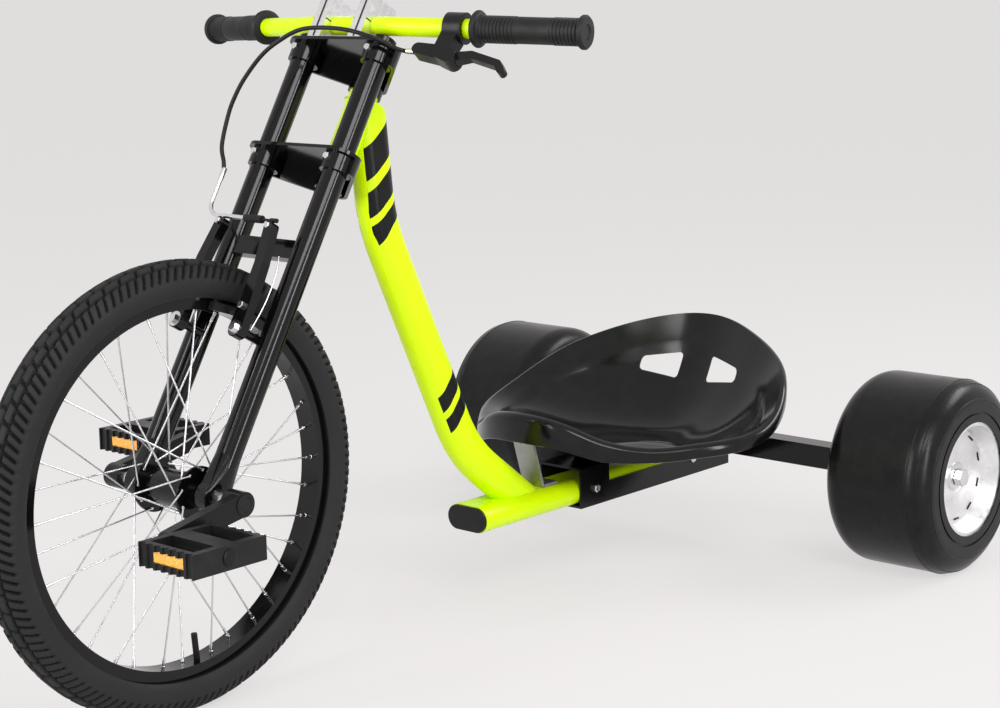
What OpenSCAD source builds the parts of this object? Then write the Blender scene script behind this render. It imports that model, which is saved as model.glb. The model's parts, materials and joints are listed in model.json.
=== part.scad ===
// Pedal drift trike: large spoked front wheel driven by cranks, twin-crown fork,
// low bucket seat on a flat rail, and two wide slick rear drums on a square axle beam.
// +X is forward, +Y is the rider's left, Z is up, and the wheels stand on Z = 0.

/* [Stance] */
// Distance between the front and rear axles
wheelbase = 1008; // [940:1:1080]
// Outer radius of the front tyre
tyre_r = 254; // [245:1:262]
// Outer radius of the rear drums
drum_r = 132; // [122:1:140]
// Distance from the middle plane to the outer face of a rear drum
track_half = 423; // [405:1:445]
// Width of a rear drum
drum_w = 158; // [140:1:168]

/* [Front wheel] */
// Half the width of the front tyre
tyre_half_w = 25.5; // [22:0.5:29]
// Wall of the front tyre
tyre_wall = 4; // [3:0.5:6]
// Radius of the rim's edge
rim_r = 213; // [210:0.5:216]
// Depth of the channel that holds the tyre
rim_seat_d = 7; // [5:0.5:8]
// Depth of the rim under that channel
rim_bed_d = 6; // [4:0.5:8]
// Half the width of the rim
rim_half_w = 14.4; // [13:0.2:16]
// Wall of the rim's two edges
rim_wall = 3; // [2:0.5:4]
// Number of spokes
spoke_count = 36; // [24:4:40]
// Radius of a spoke
spoke_r = 1; // [0.8:0.1:1.2]
// Radius of the hub's flanges
flange_r = 31; // [28:1:34]
// Distance from the middle plane to a hub flange
flange_y = 36; // [33:0.5:38]
// Radius of the hub's barrel
barrel_r = 21; // [18:1:24]

/* [Cranks and pedals] */
// Radius of the crank spindle
spindle_r = 9; // [8:0.5:10]
// Length of a crank from axle to pedal
crank_len = 102; // [92:1:114]
// Angle of the left crank below the forward direction
crank_tilt = 11; // [0:1:30]
// Distance from the middle plane to the outer face of a crank
crank_out = 112; // [108:1:118]
// Length of a pedal, fore and aft
pedal_len = 98; // [88:1:106]
// Width of a pedal
pedal_w = 84; // [76:1:94]
// Thickness of a pedal
pedal_t = 26; // [22:1:32]

/* [Fork and bar] */
// Angle of the fork from upright
rake = 30.4; // [27:0.1:34]
// Distance from the middle plane to a fork leg
leg_y = 60; // [56:0.5:66]
// Radius of a fork leg
leg_r = 14.3; // [13:0.1:16]
// Length of a fork leg above the axle
leg_len = 556; // [550:1:566]
// Distance of the steering axis behind the legs
head_back = 53.6; // [48:0.2:58]
// Length of the legs that stands above the upper crown
leg_stand = 8; // [5:1:12]
// Distance between the tops of the two crowns
crown_gap = 136; // [126:1:146]
// Depth of the crowns' turned-down skirt
skirt_d = 24; // [18:1:30]
// Thickness of the crowns' plate and skirt
crown_t = 4; // [3:0.5:6]
// Radius of the handlebar
bar_r = 11.1; // [10:0.1:13]
// Distance from the middle plane to a grip's end
bar_half = 305; // [290:1:320]
// Angle by which the bar is rolled forward in its clamps
bar_roll = 23.5; // [15:0.5:30]
// Angle at which the bar's ends sweep back
bar_sweep = 14; // [8:0.5:18]
// Half the length of the bar's straight middle
bar_mid = 56; // [50:1:66]
// Length of a grip
grip_len = 138; // [125:1:150]

/* [Frame] */
// Radius of the head tube
head_r = 17.2; // [16:0.2:19]
// Depth of the main tube, fore and aft
main_d = 50; // [44:1:56]
// Width of the main tube
main_w = 38; // [34:1:42]
// Width of the lower rail
rail_w = 66; // [58:1:74]
// Height of the lower rail
rail_h = 34; // [30:1:38]
// Height of the rail's middle above the floor
rail_z = 121.5; // [114:0.5:128]
// Length of the rail
rail_len = 410; // [380:1:440]
// Side of the square axle beam
beam_side = 32; // [28:1:36]
// Wall of the rail, the beam and the rear cradle
tube_wall = 3; // [2:0.5:4]

/* [Seat] */
// Half the length of the seat's rim, as the unit of its plan
seat_reach = 210; // [195:1:225]
// Height of the seat's back edge above its floor
seat_rise = 155; // [130:1:175]
// Height of the seat's floor above the ground
seat_floor = 160; // [154:1:168]
// Wall of the seat's shell
seat_wall = 4; // [3:0.5:6]

/* [Hidden] */

// Overrun of every cut, and the clearances of fixed and of running fits
over = 1;
fit_gap = 0.1;
run_gap = 0.05;
$fn = 96;

lime = [0.84, 0.97, 0.05];
black = [0.05, 0.05, 0.055];
satin = [0.1, 0.1, 0.11];
silver = [0.8, 0.8, 0.82];
grey = [0.55, 0.55, 0.56];
amber = [0.88, 0.55, 0.12];

// The axles stand so that the part's middle is at X = 0
front_x = (wheelbase + drum_r - tyre_r) / 2;
rear_x = front_x - wheelbase;

// Places along the fork that follow the crowns
top_crown_z = leg_len - leg_stand;
low_crown_z = top_crown_z - crown_gap;
cup_h = 12;
cup_lip = 3;
cup_gap = 0.3;
head_trim = 6;
cup_r = head_r + cup_lip;
head_low = low_crown_z + cup_gap + cup_h;
head_high = top_crown_z - skirt_d - cup_gap - cup_h;
steerer_r = 12.7;
bore_gap = 1;
head_bore_r = steerer_r + bore_gap;
bar_rise = 24;
bar_z = top_crown_z + bar_rise;
bar_x = 3;
function fork_point(x, z) =
    [front_x, 0, tyre_r] + x * [cos(rake), 0, sin(rake)] + z * [-sin(rake), 0, cos(rake)];

module at_front() {
    translate([front_x, 0, tyre_r]) children();
}
module at_fork() {
    at_front() rotate([0, -rake, 0]) children();
}
module at_steer() {
    at_fork() translate([-head_back, 0, 0]) children();
}
module at_rear() {
    translate([rear_x, 0, drum_r]) children();
}
// A shape turned about the wheel axle, its profile given as radius and distance from the middle plane
module turned() {
    rotate([-90, 0, 0]) rotate_extrude($fn = 160) children();
}
// A straight round rod between two points
module rod(a, b, r) {
    d = b - a;
    l = norm(d);
    translate(a) rotate([0, acos(d.z / l), atan2(d.y, d.x)]) cylinder(h = l, r = r);
}
// A flat-sided oval, deep along x and wide along y
module oval(deep, wide) {
    r = min(deep, wide) / 2;
    for (s = [-1, 1]) translate([s * (deep / 2 - r), s * (wide / 2 - r)]) circle(r);
    square(deep > wide ? [deep - wide, wide] : [deep, wide - deep], center = true);
}
// A pill shape between two circles of their own radii
module pill(a, ra, b, rb) {
    hull() {
        translate(a) circle(ra, $fn = 32);
        translate(b) circle(rb, $fn = 32);
    }
}

// Front wheel
rim_seat_r = rim_r - rim_seat_d;
rim_bed_r = rim_seat_r - rim_bed_d;
tube_mid_r = tyre_r - tyre_half_w;
bead_half_w = rim_half_w - rim_wall;

bead_t = 4;
shoulder_t = 4;
shoulder_half_w = 20;
module front_tyre() {
    color(satin) at_front() turned() {
        difference() {
            intersection() {
                translate([tube_mid_r, 0]) circle(tyre_half_w);
                translate([rim_r + fit_gap, -tyre_half_w]) square([tyre_r, 2 * tyre_half_w]);
            }
            translate([tube_mid_r, 0]) circle(tyre_half_w - tyre_wall);
        }
        for (s = [0, 1]) mirror([0, s]) translate([0, bead_half_w - bead_t - fit_gap]) {
            translate([rim_seat_r + fit_gap, 0]) square([rim_seat_d + shoulder_t, bead_t]);
            translate([rim_r + fit_gap, 0]) square([shoulder_t, shoulder_half_w - bead_half_w + bead_t]);
        }
    }
}
module front_rim() {
    color(black) at_front() turned() difference() {
        translate([rim_bed_r, -rim_half_w]) square([rim_r - rim_bed_r, 2 * rim_half_w]);
        translate([rim_seat_r, -bead_half_w]) square([rim_seat_d + over, 2 * bead_half_w]);
    }
}
// Each flange's spokes leave it in two slants that cross three others
spoke_inset = 4;
spoke_hole_r = flange_r - spoke_inset;
spoke_step = 360 / spoke_count;
spoke_lead = 6 * spoke_step;
flange_t = 3;
spoke_dive = 1.8;
spoke_in = flange_t / 2 + spoke_r + fit_gap;
spoke_out = flange_t / 2 + spoke_r + spoke_dive;
spoke_rim_y = 4;
spoke_end_gap = 0.4;
module front_spokes() {
    color(silver) at_front() for (k = [0:spoke_count - 1]) {
        side = k % 2 == 0 ? 1 : -1;
        slant = floor(k / 2) % 2 == 0 ? 1 : -1;
        rim_a = k * spoke_step;
        hub_a = rim_a + slant * spoke_lead;
        hub_y = side * (flange_y + (slant > 0 ? spoke_out : -spoke_in));
        hub_p = [spoke_hole_r * cos(hub_a), hub_y, spoke_hole_r * sin(hub_a)];
        rim_end_r = rim_bed_r - spoke_end_gap;
        rim_p = [rim_end_r * cos(rim_a), side * spoke_rim_y, rim_end_r * sin(rim_a)];
        rod(hub_p, rim_p, spoke_r);
    }
}
hub_end_y = 43;
hub_collar = 5;
ratchet_r = 24;
ratchet_w = 12;
module front_hub() {
    color(black) at_front() difference() {
        turned() {
            translate([0, -hub_end_y]) square([spindle_r + hub_collar, 2 * hub_end_y]);
            translate([0, -flange_y]) square([barrel_r, 2 * flange_y]);
            translate([0, flange_y - flange_t - ratchet_w]) square([ratchet_r, ratchet_w]);
            for (s = [-1, 1]) translate([0, s * flange_y - flange_t / 2]) square([flange_r, flange_t]);
        }
        rotate([90, 0, 0]) cylinder(h = 2 * hub_end_y + 2 * over, r = spindle_r + run_gap, center = true);
    }
}
valve_len = 30;
valve_r = 3.6;
valve_turn = 95;
module tyre_valve() {
    color(black) at_front() rotate([0, valve_turn, 0])
        rod([rim_bed_r - fit_gap, 0, 0], [rim_bed_r - valve_len, 0, 0], valve_r);
}

// Cranks: the spindle runs through the hub and both fork ends
boss_r = 14;
boss_w = 24;
eye_r = 11;
arm_t = 13;
spindle_half = crank_out - boss_w;
module crank_spindle() {
    color(silver) at_front() rotate([90, 0, 0]) cylinder(h = 2 * spindle_half, r = spindle_r, center = true);
}
pedal_gap = 6;
pin_r = 5;
pedal_in = crank_out + pedal_gap;
pin_short = 12;
pin_end_gap = 2;
arm_step = 1;
pin_len = pedal_gap + pedal_w - pin_short;
module crank_arm() {
    rotate([-90, 0, 0]) {
        translate([0, 0, crank_out - boss_w]) cylinder(h = boss_w, r = boss_r);
        translate([0, 0, crank_out - arm_t]) linear_extrude(arm_t)
            pill([0, 0], boss_r - arm_step, [crank_len, 0], eye_r);
        translate([crank_len, 0, crank_out - arm_t]) cylinder(h = arm_t, r = eye_r);
        translate([crank_len, 0, crank_out - over]) cylinder(h = pin_len + over, r = pin_r);
    }
}
module crank_arm_left() {
    color(satin) at_front() rotate([0, crank_tilt, 0]) crank_arm();
}
module crank_arm_right() {
    color(satin) at_front() rotate([0, crank_tilt + 180, 0]) mirror([0, 1, 0]) crank_arm();
}
// A pedal is a resin cage about its barrel, with windows and toothed front and back rails
barrel_pedal_r = 12;
barrel_lap = 1;
cage_rail = 9;
window_end = pedal_len / 2 - cage_rail;
tooth_r = 4;
reflector_t = 3;
module pedal_cage() {
    teeth = 7;
    difference() {
        union() {
            linear_extrude(pedal_t, center = true) difference() {
                square([pedal_len, pedal_w], center = true);
                for (s = [-1, 1], k = [0:teeth - 1])
                    translate([s * pedal_len / 2, pedal_w * ((k + 0.5) / teeth - 0.5)])
                        circle(tooth_r, $fn = 24);
                for (s = [-1, 1])
                    translate([s * (barrel_pedal_r + window_end) / 2, 0])
                        square([window_end - barrel_pedal_r, pedal_w - 2 * cage_rail], center = true);
            }
            rotate([90, 0, 0]) cylinder(h = pedal_w, r = barrel_pedal_r + barrel_lap, center = true);
        }
        translate([0, -pedal_w / 2 - over, 0]) rotate([-90, 0, 0])
            cylinder(h = pin_len - pedal_gap + pin_end_gap + over, r = pin_r + run_gap);
        for (s = [-1, 1]) translate([s * pedal_len / 2, 0, 0])
            cube([2 * reflector_d, reflector_w, reflector_h], center = true);
    }
}
reflector_w = 46;
reflector_h = 12;
reflector_d = 7;
module pedal_lenses() {
    for (s = [-1, 1])
        translate([s * (pedal_len / 2 - reflector_d + reflector_t / 2 + fit_gap), 0, 0])
            cube([reflector_t, reflector_w - 2 * fit_gap, reflector_h - 2 * fit_gap], center = true);
}
module at_pedal_left() {
    at_front() rotate([0, crank_tilt, 0]) translate([crank_len, pedal_in + pedal_w / 2, 0])
        rotate([0, -crank_tilt, 0]) children();
}
module at_pedal_right() {
    at_front() rotate([0, crank_tilt + 180, 0]) translate([crank_len, -pedal_in - pedal_w / 2, 0])
        rotate([0, -crank_tilt - 180, 0]) mirror([0, 1, 0]) children();
}
module pedal_left() {
    color(satin) at_pedal_left() pedal_cage();
}
module pedal_right() {
    color(satin) at_pedal_right() pedal_cage();
}
module pedal_reflectors_left() {
    color(amber) at_pedal_left() pedal_lenses();
}
module pedal_reflectors_right() {
    color(amber) at_pedal_right() pedal_lenses();
}

// Fork
lug_r = 19;
lug_t = 16;
lug_rise = 34;
lug_step = 2;
module fork_leg(side) {
    color(black) at_fork() difference() {
        union() {
            translate([0, side * leg_y, lug_rise]) cylinder(h = leg_len - lug_rise, r = leg_r);
            hull() {
                translate([0, side * leg_y, lug_rise]) cylinder(h = leg_r, r = leg_r, $fn = 32);
                translate([0, side * leg_y, 0]) rotate([90, 0, 0])
                    cylinder(h = lug_t, r = lug_r - lug_step, center = true, $fn = 32);
            }
            translate([0, side * leg_y, 0]) rotate([90, 0, 0]) cylinder(h = lug_t, r = lug_r, center = true);
        }
        translate([0, side * leg_y, 0]) rotate([90, 0, 0])
            cylinder(h = 2 * lug_t, r = spindle_r + run_gap, center = true);
    }
}
module fork_leg_left() {
    fork_leg(1);
}
module fork_leg_right() {
    fork_leg(-1);
}
// A crown is a pressed plate with its skirt turned down at the sides and the back
lobe_wall = 9;
lobe_r = leg_r + lobe_wall;
low_reach_share = 0.6;
steerer_stand = 3;
rear_lobe_r = 24;
module crown_plan(inset) {
    hull() {
        for (s = [-1, 1]) translate([0, s * leg_y]) circle(lobe_r - inset, $fn = 48);
        translate([-head_back, 0]) circle(rear_lobe_r - inset, $fn = 48);
    }
}
module crown(top, front_reach, bore_r) {
    difference() {
        union() {
            translate([0, 0, top - crown_t]) linear_extrude(crown_t) {
                crown_plan(0);
                translate([front_reach / 2, 0]) square([front_reach, 2 * leg_y], center = true);
            }
            translate([0, 0, top - skirt_d]) linear_extrude(skirt_d - crown_t + over / 10) difference() {
                crown_plan(0);
                crown_plan(crown_t);
                translate([0, -leg_y * 2]) square([leg_y, leg_y * 4]);
            }
            for (s = [-1, 1]) translate([0, s * leg_y, top - skirt_d])
                cylinder(h = skirt_d, r = leg_r + crown_t);
            translate([-head_back, 0, top - skirt_d]) cylinder(h = skirt_d, r = steerer_r + crown_t);
        }
        for (s = [-1, 1]) translate([0, s * leg_y, 0]) cylinder(h = 2 * leg_len, r = leg_r + fit_gap);
        translate([-head_back, 0, 0]) cylinder(h = 2 * leg_len, r = bore_r + fit_gap);
    }
}
module upper_crown() {
    color(black) at_fork() crown(top_crown_z, lobe_r, steerer_r);
}
module lower_crown() {
    color(black) at_fork() crown(low_crown_z, lobe_r * low_reach_share, steerer_r);
}
module steerer() {
    color(silver) at_steer() translate([0, 0, low_crown_z - skirt_d])
        cylinder(h = crown_gap + skirt_d + steerer_stand, r = steerer_r);
}

// Handlebar: a straight middle with both ends swept back
bend_r = 60;
grip_end = 3;
bar_bend_y = bar_mid + bend_r * tan(bar_sweep / 2);
arm_run = (bar_half - bar_bend_y) / cos(bar_sweep) - bend_r * tan(bar_sweep / 2) - grip_end;
module at_bar() {
    at_fork() translate([bar_x, 0, bar_z]) rotate([0, bar_roll, 0]) children();
}
module on_bar_end(side) {
    at_bar() mirror([0, side < 0 ? 1 : 0, 0]) translate([-bend_r, bar_mid, 0])
        rotate([0, 0, bar_sweep]) translate([bend_r, 0, 0]) children();
}
bar_sides = 28;
bar_steps = 5;
function bar_bend(a) = [bend_r * cos(a) - bend_r, bar_mid + bend_r * sin(a), 0];
bar_left = concat([for (i = [0:bar_steps]) bar_bend(bar_sweep * i / bar_steps)],
    [bar_bend(bar_sweep) + arm_run * [-sin(bar_sweep), cos(bar_sweep), 0]]);
bar_path = concat([for (i = [len(bar_left) - 1:-1:0]) [bar_left[i].x, -bar_left[i].y, 0]], bar_left);
module handlebar() {
    color(lime) at_bar() skin(tube_rings(bar_path, bar_r, bar_sides));
}
grip_r = 15.5;
grip_flange_r = 21;
grip_flange_t = 8;
grip_cap_r = 19;
grip_cap_t = 7;
module grip(side) {
    grip_start = arm_run - grip_len + grip_end;
    color(satin) on_bar_end(side) translate([0, grip_start, 0]) rotate([-90, 0, 0]) difference() {
        union() {
            cylinder(h = grip_len, r = grip_r);
            translate([0, 0, grip_flange_t / 2]) rotate_extrude()
                translate([grip_flange_r - grip_flange_t / 2, 0]) circle(grip_flange_t / 2, $fn = 32);
            cylinder(h = grip_flange_t, r = grip_flange_r - grip_flange_t / 2);
            translate([0, 0, grip_len - grip_cap_t]) cylinder(h = grip_cap_t, r = grip_cap_r);
        }
        translate([0, 0, -over]) cylinder(h = grip_len - grip_end + over, r = bar_r + fit_gap);
    }
}
module grip_left() {
    grip(1);
}
module grip_right() {
    grip(-1);
}
clamp_y = 33;
clamp_w = 20;
clamp_d = 40;
clamp_rise = 30;
module stem_clamps() {
    color(silver) at_fork() for (s = [-1, 1]) difference() {
        translate([bar_x - clamp_d / 2, s * clamp_y - clamp_w / 2, top_crown_z])
            cube([clamp_d, clamp_w, bar_z - top_crown_z + clamp_rise]);
        translate([bar_x, 0, bar_z]) rotate([90, 0, 0])
            cylinder(h = 3 * clamp_y, r = bar_r + fit_gap, center = true);
    }
}

// Brake lever on the left of the bar: a clamp, a forked body with its pivot, and a nose for the cable
lever_at = 81;
lever_turn = 62;
lever_w = 22;
lever_clamp_r = 18;
lever_neck_r = 11;
lever_knee_r = 9;
lever_knee_y = -8;
lever_drop = 36;
nose_len = 38;
nose_r = 7;
nose_back = 4;
nose_w = 17;
lever_cheek_r = 9;
lever_pin_r = 2.5;
lever_play = 0.3;
blade_t = 9;
blade_w = 11;
blade_eye_r = 6.5;
pivot_out = 5;
blade_pivot = [lever_drop + pivot_out, pivot_out];
blade_bow = 10;
blade_curl = 18;
blade_knee_y = 30;
blade_far_y = 66;
blade_tip_y = 72;
blade_knee = [lever_drop, blade_knee_y];
blade_far = [lever_drop + blade_bow, blade_far_y];
blade_tip = [lever_drop + blade_curl, blade_tip_y];
module at_lever() {
    on_bar_end(1) translate([0, lever_at, 0]) rotate([0, lever_turn, 0]) children();
}
module brake_lever_body() {
    color(satin) at_lever() {
        difference() {
            union() {
                rotate([90, 0, 0]) cylinder(h = lever_w, r = lever_clamp_r, center = true);
                linear_extrude(lever_w, center = true)
                    pill([0, 0], lever_neck_r, [lever_drop, lever_knee_y], lever_knee_r);
                linear_extrude(lever_w, center = true)
                    pill([lever_drop, lever_knee_y], lever_knee_r, blade_pivot, lever_cheek_r);
                linear_extrude(nose_w, center = true)
                    pill([lever_drop, lever_knee_y], lever_knee_r, [lever_drop - nose_back, -nose_len], nose_r);
            }
            rotate([90, 0, 0]) cylinder(h = 4 * lever_w, r = bar_r + fit_gap, center = true);
            linear_extrude(blade_w + 2 * lever_play, center = true)
                pill(blade_pivot, blade_eye_r + lever_play, blade_knee, blade_eye_r + lever_play);
        }
        translate(blade_pivot) cylinder(h = lever_w, r = lever_pin_r, center = true);
    }
}
module brake_lever_blade() {
    color(satin) at_lever() linear_extrude(blade_w, center = true) difference() {
        union() {
            pill(blade_pivot, blade_eye_r, blade_knee, blade_t / 2);
            pill(blade_knee, blade_t / 2, blade_far, blade_t / 2);
            pill(blade_far, blade_t / 2, blade_tip, blade_t / 2);
        }
        translate(blade_pivot) circle(lever_pin_r + fit_gap);
    }
}

// Rim brake on the front of the fork
bridge_t = 22;
bridge_d = 14;
bridge_share = 0.223;
bridge_room = low_crown_z - skirt_d - tyre_r - bridge_t;
bridge_z = tyre_r + bridge_t / 2 + bridge_share * bridge_room;
module brake_bridge() {
    color(black) at_fork() difference() {
        translate([-bridge_d / 2, -leg_y, bridge_z - bridge_t / 2]) cube([bridge_d, 2 * leg_y, bridge_t]);
        for (s = [-1, 1]) translate([0, s * leg_y, 0]) cylinder(h = leg_len, r = leg_r + fit_gap);
    }
}
// Pivot, two knees and top of a brake arm, each as distance from the middle plane and height, with its radius
pivot_x = 50;
pivot_y = 50;
pivot_z = 178.7;
pivot_r = 5;
arm_foot_r = 10;
arm_knee = [50, 214];
arm_knee_r = 8;
arm_waist = [48, 256];
arm_waist_r = 6.5;
arm_top = [41, 300];
arm_top_r = 6;
arm_x = 36;
brake_arm_t = 12;
module brake_arm(side) {
    color(black) at_fork() difference() {
        union() {
            translate([arm_x, 0, 0]) rotate([90, 0, 90]) linear_extrude(brake_arm_t)
                mirror([side < 0 ? 1 : 0, 0]) {
                pill([pivot_y, pivot_z], arm_foot_r, arm_knee, arm_knee_r);
                pill(arm_knee, arm_knee_r, arm_waist, arm_waist_r);
                pill(arm_waist, arm_waist_r, arm_top, arm_top_r);
            }
            rod([0, side * pivot_y, pivot_z], [pivot_x, side * pivot_y, pivot_z], pivot_r);
        }
        translate([0, side * leg_y, 0]) cylinder(h = leg_len, r = leg_r + fit_gap);
    }
}
module brake_arm_left() {
    brake_arm(1);
}
module brake_arm_right() {
    brake_arm(-1);
}
pad_gap = 2.5;
pad_t = 9;
pad_h = 9;
pad_len = 48;
pad_inset = 9;
post_r = 4;
post_end = arm_knee.x - (arm_foot_r + arm_knee_r) / 2 - 2 * fit_gap;
pad_x = arm_x + brake_arm_t / 2;
pad_mid_r = rim_r - pad_inset;
pad_in = rim_half_w + pad_gap;
module brake_pads() {
    color(black) at_fork() for (s = [-1, 1]) {
        tilt = asin(pad_x / pad_mid_r);
        z = pad_mid_r * cos(tilt);
        rotate([0, tilt, 0]) translate([0, s * (pad_in + pad_t / 2), pad_mid_r])
            cube([pad_len, pad_t, pad_h], center = true);
        rod([pad_x, s * (pad_in + pad_t - over), z], [pad_x, s * post_end, z], post_r);
    }
}
noodle_r = 2.6;
noodle_bend = 18;
noodle_y = -54;
noodle_end = -6;
noodle_rise = 44;
noodle_z = arm_top.y + arm_top_r + noodle_r + fit_gap;
module brake_noodle() {
    color(silver) at_fork() translate([pad_x, 0, noodle_z]) {
        rod([0, noodle_y, 0], [0, noodle_end, 0], noodle_r);
        translate([0, noodle_y, noodle_bend]) rotate([0, 0, 180]) rotate([90, 0, 90])
            rotate_extrude(angle = 90, start = 270) translate([noodle_bend, 0]) circle(noodle_r, $fn = 32);
        rod([0, noodle_y - noodle_bend, noodle_bend], [0, noodle_y - noodle_bend, noodle_rise], noodle_r);
    }
}
boot_r = 4.5;
boot_end = 22;
wire_r = 1.5;
wire_end = 36;
anchor_len = 10;
module brake_boot() {
    color(satin) at_fork() translate([pad_x, 0, noodle_z]) {
        rod([0, noodle_end + fit_gap, 0], [0, boot_end, 0], boot_r);
        rod([0, boot_end - over, 0], [0, wire_end + over, 0], wire_r);
        rod([0, wire_end, 0], [0, wire_end + anchor_len, 0], noodle_r);
    }
}
// Route of the brake cable: the upper points are measured from the bar's height, the lower from the noodle
cable_r = 2.6;
cable_sides = 8;
cable_side = [1, 0.2, 0.1];
cable_high = [
    [-4, 108.5, -28], [-1, 98, -29], [8, 90, -30], [26, 78, -29], [44, 50, -28], [56, 20, -31],
    [62, -11, -37], [66, -33, -53], [68, -51, -73], [68, -65, -103], [66, -72, -127]];
cable_low = [
    [62, -76, 71], [54, -77, 37], [45, -74, 20], [42, -72, 9], [42, -72, 0]];
noodle_top = noodle_z + noodle_rise + fit_gap;
cable_route = concat([for (p = cable_high) p + [0, 0, bar_z]], [for (p = cable_low) p + [0, 0, noodle_top]]);
function ring_dir(path, i) =
    let (a = path[max(0, i - 1)], b = path[min(len(path) - 1, i + 1)], d = b - a) d / norm(d);
function side_dir(d) = let (s = cross(d, cable_side)) s / norm(s);
function tube_rings(path, r, sides) = [for (i = [0:len(path) - 1])
    let (d = ring_dir(path, i), u = side_dir(d), v = cross(d, u))
    [for (k = [0:sides - 1]) path[i] + r * (cos(360 * k / sides) * u + sin(360 * k / sides) * v)]];
module brake_cable() {
    color(black) at_fork() skin(tube_rings(cable_route, cable_r, cable_sides));
}

// Frame
module head_tube() {
    color(lime) at_steer() translate([0, 0, head_low]) difference() {
        cylinder(h = head_high - head_low, r = head_r);
        translate([0, 0, -over]) cylinder(h = head_high - head_low + 2 * over, r = head_bore_r);
    }
}
module headset_cups() {
    color(black) at_steer() for (z = [head_low - cup_h, head_high]) translate([0, 0, z]) difference() {
        cylinder(h = cup_h, r = cup_r);
        translate([0, 0, -over]) cylinder(h = cup_h + 2 * over, r = steerer_r + run_gap);
    }
}
// The main tube leaves the head tube nearly upright, then bends twice down to its foot on the rail
rail_ahead = 537;
rail_front = rear_x + rail_ahead;
main_tilt = 5.8;
main_end_a = 52.2;
main_upper = 153;
main_lower = 145;
main_foot_back = 108;
main_run_out = 13;
main_bend_1_r = 230;
main_bend_2_r = 200;
main_sides = 32;
bend_steps = 9;
function down(a) = [-sin(a), 0, -cos(a)];
function inward(a) = [-cos(a), 0, sin(a)];
function bend_end(p, a, turn, r) = p + r * (inward(a) - inward(a + turn));
function bend_rings(p, a, turn, r, n) = [for (i = [0:n]) [bend_end(p, a, turn * i / n, r), a + turn * i / n]];
function oval_ring(p, a, deep, wide) = [for (k = [0:main_sides - 1])
    let (t = 360 * (k + 0.5) / main_sides)
    p + (sign(cos(t)) * (deep - wide) / 2 + cos(t) * wide / 2) * inward(a) + [0, sin(t) * wide / 2, 0]];
main_start = fork_point(-head_back, head_high);
main_corner_1 = main_start + main_upper * down(main_tilt);
main_foot = [rail_front - main_foot_back, 0, rail_z];
main_corner_2 = main_foot - main_lower * down(main_end_a);
main_mid = main_corner_2 - main_corner_1;
main_mid_a = atan2(-main_mid.x, -main_mid.z);
main_turn_1 = main_mid_a - main_tilt;
main_turn_2 = main_end_a - main_mid_a;
main_first = main_corner_1 - main_bend_1_r * tan(main_turn_1 / 2) * down(main_tilt);
main_second = main_corner_2 - main_bend_2_r * tan(main_turn_2 / 2) * down(main_mid_a);
main_rings = concat([[main_start, main_tilt]],
    bend_rings(main_first, main_tilt, main_turn_1, main_bend_1_r, bend_steps),
    bend_rings(main_second, main_mid_a, main_turn_2, main_bend_2_r, bend_steps),
    [[main_foot + main_run_out * down(main_end_a), main_end_a]]);
// A closed skin over a list of rings that all have the same number of points
module skin(rings) {
    n = len(rings);
    m = len(rings[0]);
    points = [for (r = rings) each r];
    walls = [for (i = [0:n - 2], k = [0:m - 1]) let (j = (k + 1) % m)
        each [[(i + 1) * m + j, i * m + j, i * m + k], [(i + 1) * m + k, (i + 1) * m + j, i * m + k]]];
    first = [for (k = [0:m - 1]) k];
    last = [for (k = [m - 1:-1:0]) (n - 1) * m + k];
    polyhedron(points, concat(walls, [first, last]));
}
module rail_blank() {
    translate([rail_front - rail_len, 0, rail_z]) rotate([90, 0, 90])
        linear_extrude(rail_len) oval(rail_w, rail_h);
}
module main_tube() {
    color(lime) difference() {
        skin([for (r = main_rings) oval_ring(r[0], r[1], main_d, main_w)]);
        at_steer() cylinder(h = 2 * leg_len, r = head_r + fit_gap);
        at_steer() translate([-leg_y, -leg_y, head_high - head_trim]) cube([4 * leg_y, 2 * leg_y, leg_y]);
        rail_blank();
        translate([rail_front - rail_len, -rail_w, 0]) cube([rail_len, 2 * rail_w, rail_z]);
    }
}
module lower_rail() {
    color(lime) difference() {
        rail_blank();
        translate([-over, 0, 0]) rail_core();
    }
}
module rail_core() {
    translate([rail_front - rail_len, 0, rail_z]) rotate([90, 0, 90]) linear_extrude(rail_len + 2 * over)
        oval(rail_w - 2 * tube_wall, rail_h - 2 * tube_wall);
}
plug_lip = 3;
plug_inset = 1;
plug_depth = 18;
module rail_plug() {
    color(satin) {
        translate([rail_front, 0, rail_z]) rotate([90, 0, 90]) linear_extrude(plug_lip)
            oval(rail_w - 2 * plug_inset, rail_h - 2 * plug_inset);
        translate([rail_front - plug_depth, 0, rail_z]) rotate([90, 0, 90]) linear_extrude(plug_depth)
            oval(rail_w - 2 * tube_wall - 2 * fit_gap, rail_h - 2 * tube_wall - 2 * fit_gap);
    }
}
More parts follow.
